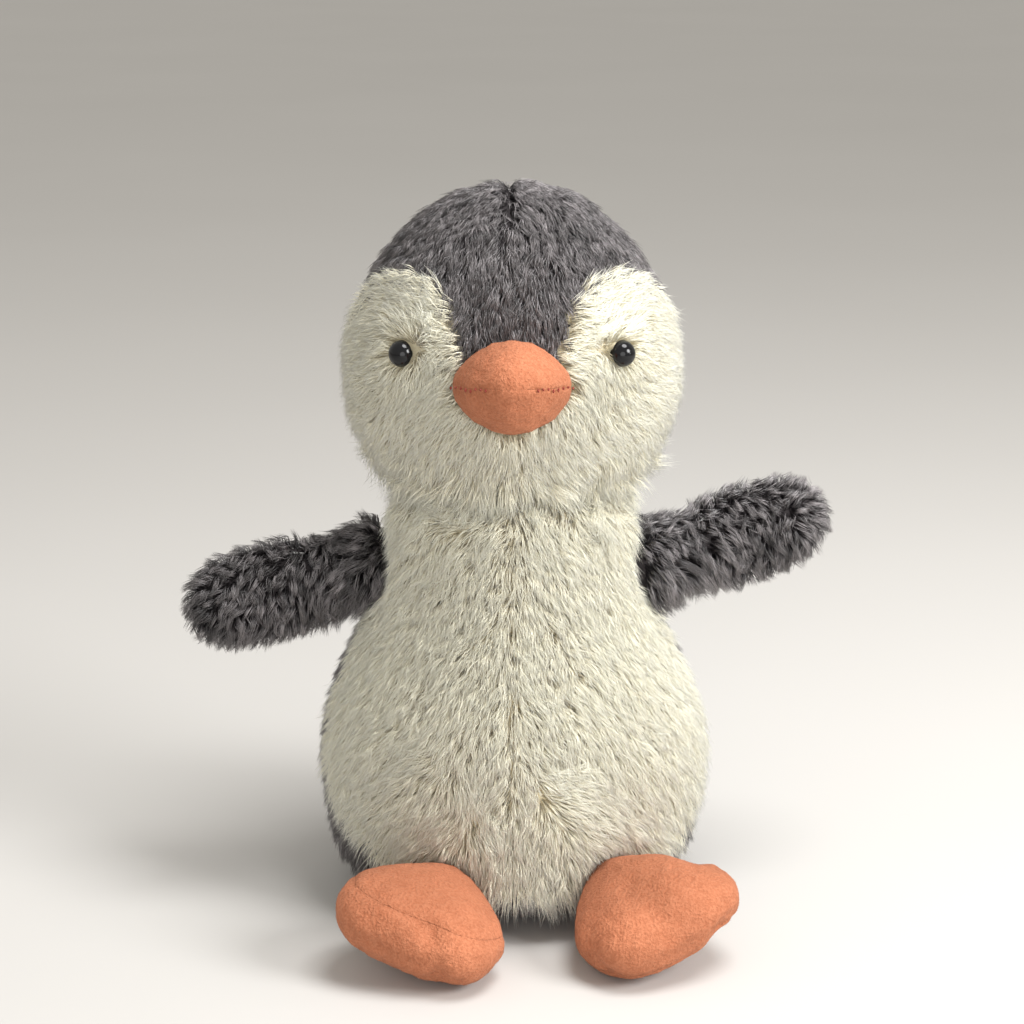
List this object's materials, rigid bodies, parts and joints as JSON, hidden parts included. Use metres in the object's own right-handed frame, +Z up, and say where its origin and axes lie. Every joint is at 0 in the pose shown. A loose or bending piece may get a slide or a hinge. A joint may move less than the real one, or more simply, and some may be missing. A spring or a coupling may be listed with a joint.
{
  "type": "plush penguin",
  "caption": "Seated plush penguin with a cream fur face and tummy, grey fur cap, back and wings, orange suede beak and feet, and black safety eyes.",
  "frame": {"origin": "middle of the flat base, on the surface that the penguin sits on", "axes": "+Z up to the crown; the face looks along -Y; the penguin's left hand is at +X. Names with left and right are as seen from in front, so wing_left is at -X."},
  "size_m": [0.2028, 0.1473, 0.228],
  "materials": {
    "cream_fur": "long shaggy polyester pile, cream",
    "grey_fur": "long polyester pile, charcoal grey with paler tips",
    "suede": "brushed imitation suede, orange",
    "stuffing": "loose polyester fibre",
    "cotton": "plain woven cotton",
    "beans": "small smooth pellets",
    "eye_plastic": "polished black",
    "washer_plastic": "plain moulded, white",
    "grey_thread": "twisted polyester thread",
    "red_thread": "twisted polyester thread, rust red"
  },
  "bodies": {
    "torso": {"tummy_left": "cream_fur", "tummy_right": "cream_fur", "back_left": "grey_fur", "back_right": "grey_fur", "base_panel": "grey_fur", "body_stuffing": "stuffing", "bean_pouch": "cotton", "beans": "beans", "closing_thread": "grey_thread"},
    "head": {"cheek_left": "cream_fur", "cheek_right": "cream_fur", "cap_left": "grey_fur", "cap_right": "grey_fur", "head_stuffing": "stuffing", "eye_left": "eye_plastic", "eye_right": "eye_plastic", "eye_washer_left": "washer_plastic", "eye_washer_right": "washer_plastic", "beak_upper": "suede", "beak_lower": "suede", "beak_stuffing": "stuffing", "beak_thread": "red_thread"},
    "wing_left": {"wing_left_front": "grey_fur", "wing_left_back": "grey_fur", "wing_left_stuffing": "stuffing"},
    "wing_right": {"wing_right_front": "grey_fur", "wing_right_back": "grey_fur", "wing_right_stuffing": "stuffing"},
    "foot_left": {"foot_left_upper": "suede", "foot_left_sole": "suede", "foot_left_stuffing": "stuffing"},
    "foot_right": {"foot_right_upper": "suede", "foot_right_sole": "suede", "foot_right_stuffing": "stuffing"}
  },
  "joints": [
    {"name": "head_nod", "type": "hinge", "parent": "torso", "child": "head", "pos_m": [0, 0, 0.115], "axis": [1, 0, 0], "range_deg": [-12, 15], "stiffness_Nm_per_rad": 0.2},
    {"name": "wing_left_flap", "type": "hinge", "parent": "torso", "child": "wing_left", "pos_m": [-0.04223, 0, 0.107], "axis": [-0.1736, 0.9848, 0], "range_deg": [-13, 55], "stiffness_Nm_per_rad": 0.03},
    {"name": "wing_right_flap", "type": "hinge", "parent": "torso", "child": "wing_right", "pos_m": [0.04223, 0, 0.107], "axis": [0.2756, -0.9613, 0], "range_deg": [-35, 30], "stiffness_Nm_per_rad": 0.03},
    {"name": "foot_left_swing", "type": "hinge", "parent": "torso", "child": "foot_left", "pos_m": [-0.02069, -0.05036, 0.01627], "axis": [-0.9613, 0.2756, 0], "range_deg": [-20, 10], "stiffness_Nm_per_rad": 0.04},
    {"name": "foot_right_swing", "type": "hinge", "parent": "torso", "child": "foot_right", "pos_m": [0.03206, -0.04545, 0.01627], "axis": [-0.8829, -0.4695, 0], "range_deg": [-20, 10], "stiffness_Nm_per_rad": 0.04}
  ]
}
